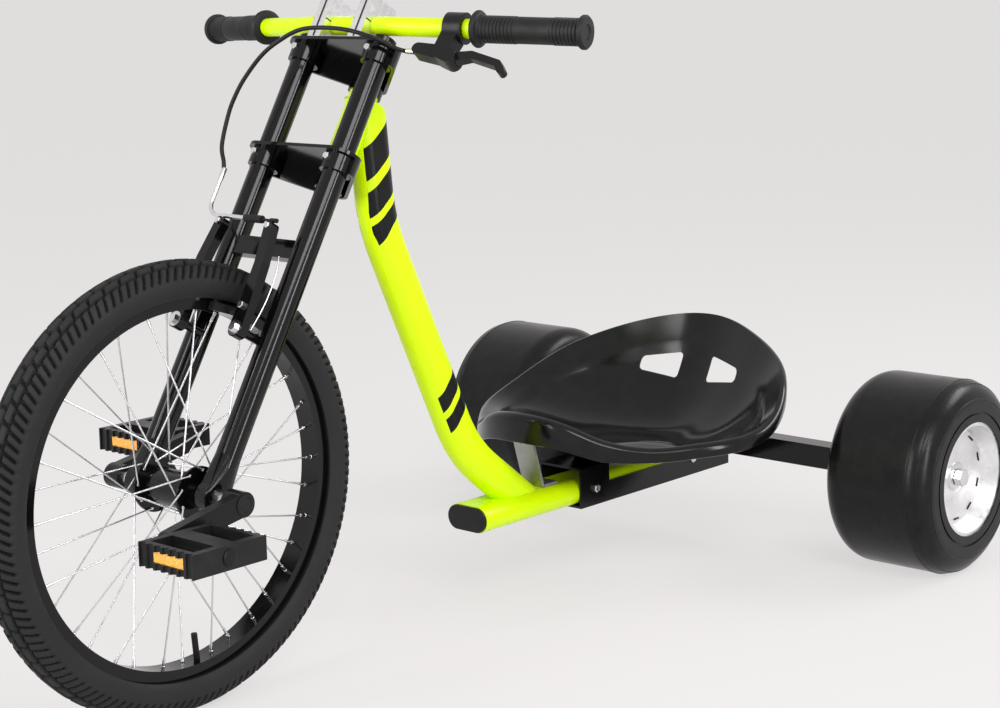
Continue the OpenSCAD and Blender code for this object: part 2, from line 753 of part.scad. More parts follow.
// The cradle is a folded channel under the rail, welded to the beam, with ears up to the seat
cradle_ahead = 353;
cradle_front = rear_x + cradle_ahead;
cradle_gap = 0.2;
cradle_w = rail_w + 2 * tube_wall + 2 * cradle_gap;
cradle_low = rail_z - rail_h / 2 - tube_wall - cradle_gap;
cradle_side = 28;
ear_len = 60;
seat_under = seat_floor - seat_wall;
beam_front = rear_x + beam_side / 2;
module rear_cradle() {
    color(black) {
        long = cradle_front - beam_front;
        translate([beam_front, -cradle_w / 2, cradle_low]) cube([long, cradle_w, tube_wall]);
        for (y = [-cradle_w / 2, cradle_w / 2 - tube_wall]) translate([beam_front, y, cradle_low]) {
            cube([long, tube_wall, cradle_side]);
            translate([long - ear_len, 0, 0]) cube([ear_len, tube_wall, seat_under - cradle_low]);
            translate([ear_len, 0, 0]) cube([ear_len, tube_wall, seat_under - cradle_low]);
        }
        translate([beam_front + ear_len, -cradle_w / 2, seat_under - tube_wall])
            cube([long - ear_len, cradle_w, tube_wall]);
    }
}
beam_gap = 12;
beam_half = track_half - drum_w - beam_gap;
module axle_beam() {
    color(black) at_rear() cube([beam_side, 2 * beam_half, beam_side], center = true);
}
stub_r = 8;
nut_r = 12;
nut_t = 10;
nut_stand = 1;
disc_dish = 24;
module axle_stubs() {
    color(silver) at_rear() for (s = [-1, 1]) rotate([s * -90, 0, 0]) {
        translate([0, 0, beam_half]) cylinder(h = track_half - disc_dish + nut_t - beam_half, r = stub_r);
        translate([0, 0, track_half - disc_dish + nut_stand]) cylinder(h = nut_t, r = nut_r, $fn = 6);
    }
}
// Seat: stations round the rim, folded about the middle plane. Columns are the angle from the nose,
// and the plan radius, rim height, inner crest and lip depth as shares
seat_stations_shares = [
    [0, 1.20, 0.48, 0.10, 0.22], [15, 1.12, 0.43, 0.12, 0.20], [30, 0.98, 0.335, 0.15, 0.17],
    [45, 0.93, 0.28, 0.17, 0.15], [60, 0.925, 0.265, 0.15, 0.15], [90, 0.995, 0.42, 0.04, 0.16],
    [120, 1.04, 0.645, 0, 0.16], [150, 1.02, 0.88, 0, 0.15], [180, 0.99, 1, 0, 0.14]];
seat_ahead = 208;
seat_x = rear_x + seat_ahead;
seat_curve = 1.7;
lip_points = 6;
seat_turns = 48;
seat_floor_share = 0.3;
seat_lip_r = 9;
seat_rings_shares = [0.3, 0.42, 0.54, 0.66, 0.76, 0.86, 0.94, 1];
seat_last = len(seat_stations_shares) - 1;
function seat_row(a, i = 0) =
    a < seat_stations_shares[i + 1][0] || i == seat_last - 1 ? i : seat_row(a, i + 1);
function seat_slope(i, c) = i == 0 || i == seat_last ? 0 :
    let (step = seat_stations_shares[i + 1] - seat_stations_shares[i - 1]) step[c] / step[0];
function seat_share(turn, c) =
    let (a = turn <= 180 ? turn : 360 - turn, i = seat_row(a),
        p = seat_stations_shares[i], q = seat_stations_shares[i + 1],
        h = q[0] - p[0], u = (a - p[0]) / h)
    p[c] * (1 + 2 * u) * (1 - u) * (1 - u) + h * seat_slope(i, c) * u * (1 - u) * (1 - u)
    + q[c] * u * u * (3 - 2 * u) + h * seat_slope(i + 1, c) * u * u * (u - 1);
function seat_height(t, turn) =
    let (v = max(0, t - seat_floor_share) / (1 - seat_floor_share))
    seat_rise * (seat_share(turn, 2) * pow(v, seat_curve) + seat_share(turn, 3) * pow(sin(180 * v), 2));
function seat_meridian(turn) =
    let (r = seat_reach * seat_share(turn, 1), top = seat_height(1, turn),
        hem = r + seat_lip_r - seat_wall, low = top - seat_rise * seat_share(turn, 4))
    concat(
        [for (t = seat_rings_shares) [r * t, seat_height(t, turn)]],
        [for (a = [60, 30, 0]) [r + seat_lip_r * cos(a), top - seat_lip_r + seat_lip_r * sin(a)]],
        [[r + seat_lip_r, low], [hem, low], [hem, top - seat_lip_r]],
        [for (i = [len(seat_rings_shares) - 1:-1:0]) let (t = seat_rings_shares[i])
            [r * t, seat_height(t, turn) - seat_wall]]);
module seat_solid() {
    rings = 2 * len(seat_rings_shares) + lip_points;
    points = concat(
        [for (k = [0:seat_turns - 1]) let (turn = 360 * k / seat_turns)
            for (p = seat_meridian(turn)) [p[0] * cos(turn), p[0] * sin(turn), p[1]]],
        [[0, 0, 0], [0, 0, -seat_wall]]);
    top = seat_turns * rings;
    faces = concat(
        [for (k = [0:seat_turns - 1], i = [0:rings - 2])
            let (a = k * rings + i, b = (k + 1) % seat_turns * rings + i)
            each [[a, a + 1, b + 1], [a, b + 1, b]]],
        [for (k = [0:seat_turns - 1]) let (j = (k + 1) % seat_turns) [top, k * rings, j * rings]],
        [for (k = [0:seat_turns - 1]) let (j = (k + 1) % seat_turns)
            [top + 1, j * rings + rings - 1, k * rings + rings - 1]]);
    polyhedron(points, [for (f = faces) [f[2], f[1], f[0]]]);
}
// A bent strap carries the seat's nose from the rail
strap_ahead = 405;
strap_w = 34;
strap_t = 4;
strap_foot = 26;
strap_lean = 23;
strap_gap = 0.3;
strap_x = rear_x + strap_ahead;
strap_z = rail_z + rail_h / 2;
function under_seat(x) =
    let (share = (x - seat_x) / (seat_reach * seat_share(0, 1)))
    seat_floor + seat_height(share, 0) - seat_wall - strap_gap;
strap_rear_top = under_seat(strap_x + strap_lean) - strap_z;
module seat_strap() {
    color(grey) translate([strap_x, strap_w / 2, strap_z]) {
        translate([-strap_foot, -strap_w, 0]) cube([strap_foot + strap_t, strap_w, strap_t]);
        rotate([90, 0, 0]) linear_extrude(strap_w) polygon([[0, 0], [strap_t, 0],
            [strap_t + strap_lean, strap_rear_top], [strap_lean, strap_rear_top]]);
    }
}

vent_y = 48;
vent_z = 80;
vent_half_w = 27;
vent_in_h = 18;
vent_out_h = 9;
module seat_shell() {
    color(black) translate([seat_x, 0, seat_floor]) difference() {
        seat_solid();
        for (s = [0, 1]) mirror([0, s, 0]) translate([-2 * seat_reach, vent_y, vent_z]) rotate([90, 0, 90])
            linear_extrude(2 * seat_reach) polygon([[-vent_half_w, -vent_in_h], [vent_half_w, -vent_out_h],
                [vent_half_w, vent_out_h], [-vent_half_w, vent_in_h]]);
    }
}

// Rear wheels: wide drums with rounded shoulders and a dished disc in the outer face
drum_edge_r = 30;
disc_r = 77;
disc_seat_d = 30;
drum_hub_r = 26;
drum_bowl_r = 94;
drum_bowl_d = 40;
drum_step_r = 88;
drum_step_w = 3;
drum_step_d = 2;
drum_in = track_half - drum_w;
module drum_profile() {
    difference() {
        intersection() {
            union() {
                translate([0, drum_in]) square([drum_r - drum_edge_r, drum_w]);
                translate([0, drum_in + drum_edge_r]) square([drum_r, drum_w - 2 * drum_edge_r]);
                for (y = [drum_in + drum_edge_r, track_half - drum_edge_r])
                    translate([drum_r - drum_edge_r, y]) circle(drum_edge_r);
            }
            translate([0, drum_in]) square([drum_r, drum_w]);
        }
        translate([0, track_half - disc_seat_d]) square([disc_r + fit_gap, disc_seat_d + over]);
        translate([drum_step_r, track_half - drum_step_d]) square([drum_step_w, drum_step_d + over]);
        translate([drum_hub_r, drum_in - over]) square([drum_bowl_r - drum_hub_r, drum_bowl_d + over]);
        translate([0, drum_in - over]) square([stub_r + run_gap, drum_w + 2 * over]);
    }
}
module rear_tyre_left() {
    color(satin) at_rear() turned() drum_profile();
}
module rear_tyre_right() {
    color(satin) at_rear() mirror([0, 1, 0]) turned() drum_profile();
}
disc_t = 3;
disc_inset = 2;
disc_cone = 3;
disc_flat_share = 0.82;
module disc_profile() {
    low = track_half - disc_seat_d;
    deep = disc_seat_d - disc_inset;
    difference() {
        translate([0, low]) square([disc_r, deep]);
        translate([0, low + disc_t]) polygon([[0, 0], [disc_r * disc_flat_share, disc_cone],
            [disc_r - disc_t, deep], [disc_r - disc_t, disc_seat_d], [0, disc_seat_d]]);
        translate([0, low - over]) square([stub_r + run_gap, disc_t + 3 * over]);
    }
}
module rear_disc_left() {
    color(silver) at_rear() turned() disc_profile();
}
module rear_disc_right() {
    color(silver) at_rear() mirror([0, 1, 0]) turned() disc_profile();
}

front_tyre();
front_rim();
front_spokes();
front_hub();
tyre_valve();
crank_spindle();
crank_arm_left();
crank_arm_right();
pedal_left();
pedal_right();
pedal_reflectors_left();
pedal_reflectors_right();
fork_leg_left();
fork_leg_right();
upper_crown();
lower_crown();
steerer();
handlebar();
grip_left();
grip_right();
stem_clamps();
brake_lever_body();
brake_lever_blade();
brake_bridge();
brake_arm_left();
brake_arm_right();
brake_pads();
brake_noodle();
brake_boot();
brake_cable();
head_tube();
headset_cups();
main_tube();
lower_rail();
rail_plug();
rear_cradle();
axle_beam();
axle_stubs();
seat_strap();
seat_shell();
rear_tyre_left();
rear_tyre_right();
rear_disc_left();
rear_disc_right();
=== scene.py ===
"""Looks of a pedal drift trike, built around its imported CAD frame."""

import json
import math

import bmesh
import bpy
import numpy as np
from mathutils import Matrix, Vector


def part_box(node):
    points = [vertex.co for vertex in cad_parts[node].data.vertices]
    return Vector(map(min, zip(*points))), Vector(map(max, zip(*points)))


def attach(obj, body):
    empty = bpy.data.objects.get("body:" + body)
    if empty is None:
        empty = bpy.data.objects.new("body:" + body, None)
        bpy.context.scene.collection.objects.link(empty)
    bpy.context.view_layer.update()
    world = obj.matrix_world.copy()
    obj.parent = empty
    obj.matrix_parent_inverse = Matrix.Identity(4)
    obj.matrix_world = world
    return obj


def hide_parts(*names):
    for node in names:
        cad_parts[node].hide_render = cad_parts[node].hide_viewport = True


MM = 0.001
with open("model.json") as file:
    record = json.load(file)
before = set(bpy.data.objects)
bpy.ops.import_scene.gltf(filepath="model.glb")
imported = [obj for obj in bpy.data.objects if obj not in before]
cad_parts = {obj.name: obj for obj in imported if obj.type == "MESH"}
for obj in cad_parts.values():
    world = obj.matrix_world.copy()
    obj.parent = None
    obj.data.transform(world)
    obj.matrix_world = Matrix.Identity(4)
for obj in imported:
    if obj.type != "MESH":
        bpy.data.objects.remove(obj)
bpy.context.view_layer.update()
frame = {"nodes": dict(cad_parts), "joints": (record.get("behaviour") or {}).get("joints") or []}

# Places that come from the frame: joints, and the fork's own directions
place = {j["name"]: Vector(j["pos_m"]) for j in frame["joints"]}
AXLE = place["front_wheel_spin"]
FORK_UP = next(Vector(j["axis"]) for j in frame["joints"] if j["name"] == "steer").normalized()
FORK_AHEAD = Vector((FORK_UP.z, 0, -FORK_UP.x))
LEFT = Vector((0, 1, 0))


def fork(x, y, z):
    """A point given in millimetres ahead of, left of and along the fork from the front axle."""
    return AXLE + (FORK_AHEAD * x + LEFT * y + FORK_UP * z) * MM


# Materials


class Shader:
    """A node material with a Principled surface, and short ways to add its detail."""

    def __init__(self, name, colour, rough, metal=0.0, coat=0.0, shine=0.5):
        self.mat = bpy.data.materials.new(name)
        self.mat.use_nodes = True
        self.nodes = self.mat.node_tree.nodes
        self.link = self.mat.node_tree.links.new
        self.surface = self.nodes["Principled BSDF"]
        self.set("Base Color", (*colour, 1))
        self.set("Roughness", rough)
        self.set("Metallic", metal)
        self.set("Coat Weight", coat)
        self.set("Coat Roughness", 0.06)
        self.set("Specular IOR Level", shine)
        self.where = self.nodes.new("ShaderNodeTexCoord").outputs["Object"]

    def set(self, socket, value):
        self.surface.inputs[socket].default_value = value

    def noise(self, scale, detail=3.0):
        n = self.nodes.new("ShaderNodeTexNoise")
        n.inputs["Scale"].default_value = scale
        n.inputs["Detail"].default_value = detail
        self.link(self.where, n.inputs["Vector"])
        return n.outputs["Fac"]

    def cells(self, scale):
        n = self.nodes.new("ShaderNodeTexVoronoi")
        n.inputs["Scale"].default_value = scale
        self.link(self.where, n.inputs["Vector"])
        return n.outputs["Distance"]

    def spread(self, value, low, high, start=0.3, end=0.7):
        """value, a noise between start and end, becomes a number between low and high."""
        n = self.nodes.new("ShaderNodeMapRange")
        for socket, v in (("From Min", start), ("From Max", end), ("To Min", low), ("To Max", high)):
            n.inputs[socket].default_value = v
        self.link(value, n.inputs["Value"])
        return n.outputs["Result"]

    def mix(self, factor, a, b):
        """The colour a where factor is 0 and b where it is 1."""
        n = self.nodes.new("ShaderNodeMix")
        n.data_type = "RGBA"
        for socket, c in ((n.inputs[6], a), (n.inputs[7], b)):
            if isinstance(c, tuple):
                socket.default_value = (*c, 1)
            else:
                self.link(c, socket)
        self.link(factor, n.inputs[0])
        return n.outputs[2]

    def colour(self, output):
        self.link(output, self.surface.inputs["Base Color"])

    def rough(self, output):
        self.link(output, self.surface.inputs["Roughness"])

    def bump(self, height, depth, strength=0.5):
        n = self.nodes.new("ShaderNodeBump")
        n.inputs["Strength"].default_value = strength
        n.inputs["Distance"].default_value = depth
        self.link(height, n.inputs["Height"])
        self.link(n.outputs["Normal"], self.surface.inputs["Normal"])

    def math(self, operation, a, b=None):
        n = self.nodes.new("ShaderNodeMath")
        n.operation = operation
        for socket, v in zip(n.inputs, (a, b)):
            if v is None:
                continue
            if isinstance(v, (int, float)):
                socket.default_value = v
            else:
                self.link(v, socket)
        return n.outputs[0]


def painted(name, colour, rough, shine, shift=0.06):
    """Powder coat: a faint orange peel, cloudy gloss and a little drift in the colour."""
    s = Shader(name, colour, rough, shine=shine)
    s.colour(s.mix(s.spread(s.noise(9), 0, 1), colour, tuple(c * (1 - shift) for c in colour)))
    s.rough(s.spread(s.noise(40), rough * 0.8, rough * 1.3))
    s.bump(s.noise(420, 1), 0.00012, 0.25)
    return s


def moulded(name, colour, rough, shine, grain, depth):
    """Moulded rubber or plastic: a fine grain and patches of different sheen."""
    s = Shader(name, colour, rough, shine=shine)
    s.colour(s.mix(s.spread(s.noise(60), 0, 1), colour, tuple(c * 1.6 + 0.002 for c in colour)))
    s.rough(s.spread(s.noise(25), rough * 0.85, min(1, rough * 1.2)))
    s.bump(s.noise(grain, 2), depth, 0.4)
    return s


def metal(name, colour, rough, grain):
    """Bare or plated metal: streaks in the gloss and a fine grain."""
    s = Shader(name, colour, rough, metal=1)
    s.colour(s.mix(s.spread(s.noise(30), 0, 1), colour, tuple(c * 0.82 for c in colour)))
    s.rough(s.spread(s.noise(grain, 4), rough * 0.7, rough * 1.5))
    s.bump(s.noise(grain, 3), 0.00006, 0.3)
    return s


LIME = (0.66, 0.93, 0.0)
BLACK = (0.003, 0.003, 0.0034)
AMBER = (0.80, 0.27, 0.02)
SILVER = (0.78, 0.78, 0.79)

lime = painted("lime_powder_coat", LIME, 0.30, 0.25)
black = painted("black_powder_coat", BLACK, 0.11, 0.30)
satin = painted("black_alloy", (0.007, 0.007, 0.0076), 0.32, 0.22)
rubber = moulded("tyre_rubber", (0.0065, 0.0065, 0.0067), 0.58, 0.2, 900, 0.0002)
grip_rubber = moulded("grip_rubber", (0.0075, 0.0075, 0.008), 0.5, 0.25, 1200, 0.00015)
resin = moulded("black_resin", (0.006, 0.006, 0.0064), 0.36, 0.25, 700, 0.0001)
drum = moulded("drum_plastic", (0.0032, 0.0032, 0.0036), 0.27, 0.22, 500, 0.00006)
seat_plastic = moulded("seat_plastic", (0.002, 0.002, 0.0023), 0.14, 0.3, 300, 0.00003)
steel = metal("plated_steel", SILVER, 0.2, 260)
alloy = metal("bright_alloy", (0.86, 0.86, 0.87), 0.26, 180)
bare_steel = metal("bare_steel", (0.42, 0.42, 0.42), 0.42, 300)
dish = metal("dish_silver", (0.86, 0.86, 0.86), 0.38, 220)
lens = Shader("amber_lens", AMBER, 0.18, coat=0.5)
lens.colour(lens.mix(lens.spread(lens.cells(420), 0, 1, 0, 0.7), AMBER, (0.95, 0.50, 0.08)))
lens.bump(lens.cells(420), 0.0006, 0.8)

# The tube's middle line is straight above and below its upper bend: a height, its X there and its lean
TUBE_LINES = ((0.5546, 0.1265, 0.1016), (0.4800, 0.1058, 0.4706))
# The stripes slope down to the front over the tube's flat sides: the heights of their lower and upper edges
STRIPE_SLOPE = 0.8
STRIPE_SPANS = ((0.585, 0.624), (0.540, 0.5715), (0.5075, 0.5295), (0.287, 0.3075), (0.259, 0.278))
STRIPE_FRONT, STRIPE_SIDE = 0.021, 0.010
striped = painted("lime_with_stripes", LIME, 0.30, 0.25)


def add_stripes(s):
    """Black bars on the sides of the main tube, from its rear edge most of the way to its front."""
    split = s.nodes.new("ShaderNodeSeparateXYZ")
    s.link(s.where, split.inputs[0])
    x, y, z = split.outputs
    lines = [s.math("ADD", s.math("MULTIPLY", s.math("SUBTRACT", z, height), lean), at)
             for height, at, lean in TUBE_LINES]
    ahead = s.math("SUBTRACT", x, s.math("MINIMUM", *lines))
    level = s.math("ADD", z, s.math("MULTIPLY", ahead, STRIPE_SLOPE))
    bars = None
    for low, high in STRIPE_SPANS:
        inside = s.math("MULTIPLY", s.math("GREATER_THAN", level, low), s.math("LESS_THAN", level, high))
        bars = inside if bars is None else s.math("ADD", bars, inside)
    on_side = s.math("GREATER_THAN", s.math("ABSOLUTE", y), STRIPE_SIDE)
    mask = s.math("MULTIPLY", s.math("MULTIPLY", bars, on_side), s.math("LESS_THAN", ahead, STRIPE_FRONT))
    plain = s.surface.inputs["Base Color"].links[0].from_socket
    s.colour(s.mix(mask, plain, BLACK))


add_stripes(striped)

NODE_SHADERS = {
    lime: ["head_tube", "lower_rail", "handlebar"],
    striped: ["main_tube"],
    black: ["headset_cups", "rear_cradle", "axle_beam", "fork_leg_left", "fork_leg_right", "upper_crown",
            "lower_crown", "front_rim", "front_hub", "brake_bridge", "brake_arm_left", "brake_arm_right"],
    rubber: ["front_tyre", "tyre_valve", "brake_pads", "brake_boot", "brake_cable"],
    grip_rubber: ["grip_left", "grip_right"],
    resin: ["pedal_left", "pedal_right", "rail_plug"],
    satin: ["brake_lever_body", "brake_lever_blade", "crank_arm_left", "crank_arm_right"],
    drum: ["rear_tyre_left", "rear_tyre_right"],
    steel: ["front_spokes", "crank_spindle", "steerer", "brake_noodle", "axle_stubs"],
    alloy: ["stem_clamps"],
    dish: ["rear_disc_left", "rear_disc_right"],
    bare_steel: ["seat_strap"],
    seat_plastic: ["seat_shell"],
    lens: ["pedal_reflectors_left", "pedal_reflectors_right"],
}
for shader, names in NODE_SHADERS.items():
    for n in names:
        mesh = frame["nodes"][n].data
        mesh.materials.clear()
        mesh.materials.append(shader.mat)

# Rigid parts get a small rounded edge, which catches the light
ROUNDED = {"pedal_left": 1.2, "pedal_right": 1.2, "stem_clamps": 1.5, "axle_beam": 2.0, "rear_cradle": 0.9,
           "crank_arm_left": 1.5, "crank_arm_right": 1.5, "brake_lever_body": 1.5, "brake_lever_blade": 2.2,
           "brake_arm_left": 1.5, "brake_arm_right": 1.5, "brake_bridge": 1.5, "seat_strap": 0.7}
for n, width in ROUNDED.items():
    edge = frame["nodes"][n].modifiers.new("rounded_edge", "BEVEL")
    edge.width = width * MM
    edge.segments = 2
    edge.limit_method = "ANGLE"
    edge.angle_limit = math.radians(50)
    edge.harden_normals = True

# Mesh helpers


def piece(name, verts, faces, shader, body, slot, stands_for=(), sharp=40):
    """One mesh piece in the row frame, smooth but for edges sharper than that angle."""
    mesh = bpy.data.meshes.new(name)
    mesh.from_pydata([tuple(v) for v in verts], [], [tuple(f) for f in faces])
    return finish_piece(name, mesh, shader, body, stands_for, sharp)


def finish_piece(name, mesh, shader, body, stands_for=(), sharp=40):
    b = bmesh.new()
    b.from_mesh(mesh)
    bmesh.ops.recalc_face_normals(b, faces=b.faces)
    b.to_mesh(mesh)
    b.free()
    mesh.shade_smooth()
    mesh.set_sharp_from_angle(angle=math.radians(sharp))
    mesh.materials.append(shader.mat)
    obj = bpy.data.objects.new(name, mesh)
    bpy.context.scene.collection.objects.link(obj)
    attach(obj, body)
    if stands_for:
        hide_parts(*stands_for)
    return obj


def across(axis):
    """Two directions square to axis and to each other."""
    axis = axis.normalized()
    u = axis.cross(Vector((0.3, 0.2, 1))).normalized()
    return u, axis.cross(u)


def revolved(profile, centre, axis, steps):
    """A closed form turned about axis: profile holds (distance along the axis, radius) pairs in metres."""
    axis = axis.normalized()
    u, w = across(axis)
    verts, faces = [], []
    for d, r in profile:
        for k in range(steps):
            a = 2 * math.pi * k / steps
            verts.append(centre + axis * d + (u * math.cos(a) + w * math.sin(a)) * r)
    for i in range(len(profile) - 1):
        for k in range(steps):
            j = (k + 1) % steps
            faces.append((i * steps + k, i * steps + j, (i + 1) * steps + j, (i + 1) * steps + k))
    faces.append(tuple(range(steps)))
    faces.append(tuple((len(profile) - 1) * steps + k for k in range(steps)))
    return verts, faces


def swept(points, radius, sides):
    """A round tube along points, with flat ends."""
    verts, faces = [], []
    u = None
    for i, p in enumerate(points):
        d = (points[min(i + 1, len(points) - 1)] - points[max(i - 1, 0)]).normalized()
        u = across(d)[0] if u is None else (u - d * u.dot(d)).normalized()
        w = d.cross(u)
        for k in range(sides):
            a = 2 * math.pi * k / sides
            verts.append(p + (u * math.cos(a) + w * math.sin(a)) * radius)
    for i in range(len(points) - 1):
        for k in range(sides):
            j = (k + 1) % sides
            faces.append((i * sides + k, i * sides + j, (i + 1) * sides + j, (i + 1) * sides + k))
    faces.append(tuple(range(sides)))
    faces.append(tuple((len(points) - 1) * sides + k for k in range(sides)))
    return verts, faces


def ring(centre, axis, radius, thick, steps=120, sides=10):
    """A round ring about axis."""
    u, w = across(axis)
    axis = axis.normalized()
    verts, faces = [], []
    for k in range(steps):
        a = 2 * math.pi * k / steps
        out = u * math.cos(a) + w * math.sin(a)
        for i in range(sides):
            b = 2 * math.pi * i / sides
            verts.append(centre + out * (radius + thick * math.cos(b)) + axis * thick * math.sin(b))
    for k in range(steps):
        j = (k + 1) % steps
        for i in range(sides):
            h = (i + 1) % sides
            faces.append((k * sides + i, k * sides + h, j * sides + h, j * sides + i))
    return verts, faces


def curve_through(points, steps=8):
    """A smooth curve through points."""
    out = []
    for i in range(len(points) - 1):
        a, b = points[max(i - 1, 0)], points[i]
        c, d = points[i + 1], points[min(i + 2, len(points) - 1)]
        for k in range(steps):
            t = k / steps
            out.append(0.5 * (2 * b + (c - a) * t + (2 * a - 5 * b + 4 * c - d) * t ** 2
                              + (3 * b - a - 3 * c + d) * t ** 3))
    return out + [points[-1]]


def joined(parts):
    """Several (verts, faces) as one."""
    verts, faces = [], []
    for v, f in parts:
        base = len(verts)
        verts += list(v)
        faces += [tuple(base + i for i in face) for face in f]
    return verts, faces


def bolt(centre, axis, radius, height, sides=6):
    """A bolt head with a bevelled edge, standing on centre."""
    r, h = radius * MM, height * MM
    return revolved([(-h * 0.2, r), (h * 0.75, r), (h, r * 0.8)], centre, axis, sides)


# Front wheel

TYRE_R, TYRE_HALF_W, RIM_R = 0.254, 0.0255, 0.2131
TUBE_R = TYRE_R - TYRE_HALF_W
BEAD_HALF_W, BEAD_R = 0.0112, 0.2062
TREAD_PITCHES = 70
TREAD_DEPTH = 0.0036
TREAD_HALF = 0.033
BLOCK_EDGES = (0.0055, 0.0160)
TREAD_SLANT = 0.55
GROOVE, GROOVE_SOFT = 0.0019, 0.0018


def soft_step(x, edge, width):
    t = np.clip((x - edge) / width + 0.5, 0, 1)
    return t * t * (3 - 2 * t)


def tread(turn, side):
    """How deep the tread is cut, from 0 to 1, at a share of a turn and a distance across the crown in metres."""
    pitch = 2 * math.pi * TYRE_R / TREAD_PITCHES
    w = np.abs(side)
    along = turn * 2 * math.pi * TYRE_R / pitch + TREAD_SLANT * w / pitch

    def blocks(per_pitch, shift):
        cell = (along * per_pitch + shift) % 1
        return np.minimum(cell, 1 - cell) * pitch / per_pitch

    inner, outer = BLOCK_EDGES
    rows = [w < inner, w < outer]
    ends = np.select(rows, [blocks(1, 0), blocks(1, 0.5)], blocks(2, 0.25))
    sides = np.minimum(np.abs(w - inner), np.abs(w - outer))
    high = np.minimum(soft_step(ends, GROOVE, GROOVE_SOFT), soft_step(sides, GROOVE / 2, GROOVE_SOFT))
    return (1 - high) * (1 - soft_step(w, TREAD_HALF, 0.003))


def groove_shaded_tread():
    """Tyre rubber with painted shade darkening the grooves, and block tops lighter from wear."""
    s = moulded("tread_rubber_groove_shade", (0.0065, 0.0065, 0.0067), 0.6, 0.2, 900, 0.0002)
    split = s.nodes.new("ShaderNodeSeparateXYZ")
    s.link(s.where, split.inputs[0])
    x, y, z = split.outputs
    round_axle = s.math("ADD", s.math("POWER", s.math("SUBTRACT", x, AXLE.x), 2),
                        s.math("POWER", s.math("SUBTRACT", z, AXLE.z), 2))
    from_tube = s.math("SUBTRACT", s.math("SQRT", round_axle), TUBE_R)
    height = s.math("SQRT", s.math("ADD", s.math("POWER", from_tube, 2), s.math("POWER", y, 2)))
    # Painted shade: the rubber gets darker with depth into the grooves and lighter up on the block tops
    groove_shade = s.spread(height, 0, 1, TYRE_HALF_W - TREAD_DEPTH, TYRE_HALF_W)
    s.colour(s.mix(groove_shade, (0.0012, 0.0012, 0.0013), (0.017, 0.017, 0.0175)))
    return s


def front_tyre():
    around = 1320
    end = math.acos((RIM_R - TUBE_R) / TYRE_HALF_W)
    crown = TREAD_HALF / TYRE_HALF_W
    angles = np.concatenate([np.linspace(-end, -crown - 0.1, 9), np.linspace(-crown, crown, 45),
                             np.linspace(crown + 0.1, end, 9)])
    turns = np.arange(around) / around
    t, a = np.meshgrid(turns, angles, indexing="ij")
    r = TYRE_HALF_W - TREAD_DEPTH * tread(t, a * TYRE_HALF_W)
    ridge = np.exp(-(((np.abs(a) - 1.95) / 0.03) ** 2)) * 0.0006
    r = r + ridge
    radius = TUBE_R + r * np.cos(a)
    y = r * np.sin(a)
    bead = np.array([[BEAD_R, BEAD_HALF_W], [BEAD_R, -BEAD_HALF_W]])
    top = np.array([[RIM_R, BEAD_HALF_W], [RIM_R, -BEAD_HALF_W]])
    loop_r = np.concatenate([radius, np.tile([top[0, 0], bead[0, 0], bead[1, 0], top[1, 0]], (around, 1))], 1)
    loop_y = np.concatenate([y, np.tile([top[0, 1], bead[0, 1], bead[1, 1], top[1, 1]], (around, 1))], 1)
    spin = 2 * math.pi * turns[:, None]
    verts = np.stack([AXLE.x + loop_r * np.cos(spin), AXLE.y + loop_y, AXLE.z + loop_r * np.sin(spin)], 2)
    m = loop_r.shape[1]
    i, k = np.meshgrid(np.arange(around), np.arange(m), indexing="ij")
    j, l = (i + 1) % around, (k + 1) % m
    faces = np.stack([i * m + k, i * m + l, j * m + l, j * m + k], 2).reshape(-1, 4)
    piece("front_tyre_tread", verts.reshape(-1, 3), faces.tolist(), groove_shaded_tread(), "front_wheel", "tyre_rubber",
          ["front_tyre"], 50)


front_tyre()

SPOKES, SPOKE_LEAD = 36, 6
SPOKE_HUB_R, SPOKE_RIM_R, SPOKE_RIM_Y = 0.027, 0.1996, 0.004
FLANGE_Y, SPOKE_OUT, SPOKE_IN = 0.036, 0.0043, 0.0026


def spoke_ends(k):
    side = 1 if k % 2 == 0 else -1
    slant = 1 if (k // 2) % 2 == 0 else -1
    rim_a = 2 * math.pi * k / SPOKES
    hub_a = rim_a + slant * SPOKE_LEAD * 2 * math.pi / SPOKES
    hub_y = side * (FLANGE_Y + (SPOKE_OUT if slant > 0 else -SPOKE_IN))
    hub = AXLE + Vector((SPOKE_HUB_R * math.cos(hub_a), hub_y, SPOKE_HUB_R * math.sin(hub_a)))
    rim = AXLE + Vector((SPOKE_RIM_R * math.cos(rim_a), side * SPOKE_RIM_Y, SPOKE_RIM_R * math.sin(rim_a)))
    return hub, rim


nipples, heads = [], []
for k in range(SPOKES):
    hub, rim = spoke_ends(k)
    inward = (hub - rim).normalized()
    nipples.append(revolved([(0, 0.0022), (0.003, 0.0022), (0.0035, 0.0017), (0.012, 0.0016)], rim, inward, 10))
    heads.append(revolved([(-0.0012, 0.0012), (0, 0.002), (0.0012, 0.0012)], hub, LEFT, 8))
piece("spoke_nipples", *joined(nipples), steel, "front_wheel", "plated_steel")
piece("spoke_heads", *joined(heads), steel, "front_wheel", "plated_steel")

# Fork, bar and brake

GRIP_ROLL, BAR_SWEEP = math.radians(23.5), math.radians(14)
BAR_X, BAR_Z, BAR_BEND, BAR_MID, BAR_HALF, GRIP_END = 3, 572, 60, 56, 305, 3


def bar_end(side, along, x=0, z=0):
    """A point on a swept bar end: millimetres along it from the bend, and ahead of and above its middle."""
    bx = BAR_BEND * (math.cos(BAR_SWEEP) - 1) + x * math.cos(BAR_SWEEP) - along * math.sin(BAR_SWEEP)
    by = BAR_MID + BAR_BEND * math.sin(BAR_SWEEP) + x * math.sin(BAR_SWEEP) + along * math.cos(BAR_SWEEP)
    rx = bx * math.cos(GRIP_ROLL) + z * math.sin(GRIP_ROLL)
    rz = z * math.cos(GRIP_ROLL) - bx * math.sin(GRIP_ROLL)
    return fork(BAR_X + rx, side * by, BAR_Z + rz)


